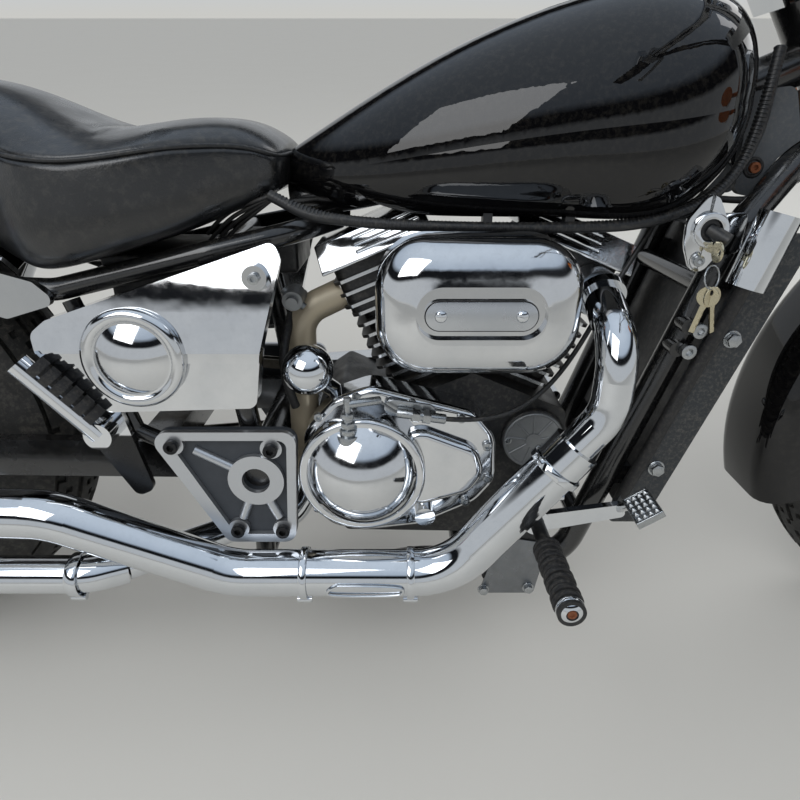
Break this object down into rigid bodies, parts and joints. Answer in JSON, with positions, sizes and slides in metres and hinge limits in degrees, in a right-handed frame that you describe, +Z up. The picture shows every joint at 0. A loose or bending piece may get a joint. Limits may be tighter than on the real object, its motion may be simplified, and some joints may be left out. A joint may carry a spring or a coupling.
{
  "type": "cruiser motorcycle",
  "caption": "Low two-wheeled cruiser motorcycle with a V-twin engine, chrome covers and twin silencers, parked leaning on its side stand.",
  "frame": {"origin": "on the floor under the middle of the parked machine's bounding box", "axes": "+X forward along the wheelbase, +Y to the machine's left (the side it leans to), +Z up; the machine leans 10 degrees to +Y"},
  "size_m": [2.363, 0.8785, 1.1453],
  "materials": {
    "chrome": "polished chrome",
    "black_paint": "gloss black paint",
    "black_rubber": "ribbed black rubber",
    "tyre": "dusty black tread rubber",
    "black_leather": "soft black leather",
    "aluminium": "satin cast aluminium",
    "engine_black": "satin black engine paint",
    "lamp_lens": "clear coloured lens",
    "dark_plastic": "dark grey moulded plastic",
    "steel": "bright steel"
  },
  "bodies": {
    "chassis": {"frame_backbone": "black_paint", "frame_downtubes": "black_paint", "frame_lower_rails": "black_paint", "frame_uprights": "black_paint", "frame_seat_rails": "black_paint", "swingarm": "black_paint", "rear_axle": "steel", "shocks": "chrome", "crankcase": "engine_black", "cylinder_rear": "engine_black", "cylinder_front": "engine_black", "head_covers": "chrome", "clutch_case": "chrome", "clutch_cover": "chrome", "generator_cover": "chrome", "sprocket_cover": "chrome", "chain": "steel", "air_cleaner": "chrome", "air_box": "dark_plastic", "intake_cover": "chrome", "exhaust_front": "chrome", "exhaust_rear": "chrome", "radiator": "engine_black", "radiator_cheeks": "chrome", "horn": "chrome", "fuel_tank": "black_paint", "filler_cap": "chrome", "seat_rider": "black_leather", "seat_pillion": "black_leather", "rear_fender": "black_paint", "fender_struts": "chrome", "rear_lamps": "lamp_lens", "plate_holder": "dark_plastic", "side_covers": "chrome", "pivot_covers": "aluminium", "breather": "chrome", "foot_rests": "black_rubber", "foot_levers": "chrome", "passenger_pegs": "black_rubber", "ignition_switch": "chrome", "neck_covers": "dark_plastic", "conduit": "black_rubber"},
    "steering_set": {"fork": "chrome", "caliper": "engine_black", "front_fender": "black_paint", "handlebar": "chrome", "grips": "black_rubber", "levers": "aluminium", "mirrors": "chrome", "headlamp": "chrome", "speedometer": "chrome", "front_indicators": "lamp_lens"},
    "front_wheel_set": {"front_wheel": "aluminium", "front_tyre": "tyre", "front_disc": "steel"},
    "rear_wheel_set": {"rear_wheel": "aluminium", "rear_tyre": "tyre"},
    "stand_leg": {"side_stand": "black_paint"}
  },
  "joints": [
    {"name": "steering", "type": "hinge", "parent": "chassis", "child": "steering_set", "pos_m": [0.49, -0.01816, 0.75452], "axis": [-0.5592, 0.144, 0.8164], "range_deg": [-38, 38]},
    {"name": "front_wheel_spin", "type": "hinge", "parent": "steering_set", "child": "front_wheel_set", "pos_m": [0.864, -0.09543, 0.31628], "axis": [0, 0.9848, -0.1736], "continuous": true},
    {"name": "rear_wheel_spin", "type": "hinge", "parent": "chassis", "child": "rear_wheel_set", "pos_m": [-0.781, -0.09456, 0.3212], "axis": [0, 0.9848, -0.1736], "continuous": true},
    {"name": "side_stand_fold", "type": "hinge", "parent": "chassis", "child": "stand_leg", "pos_m": [0.031, 0.00307, 0.12629], "axis": [-0.2711, 0.9622, -0.0274], "range_deg": [0, 112]}
  ]
}
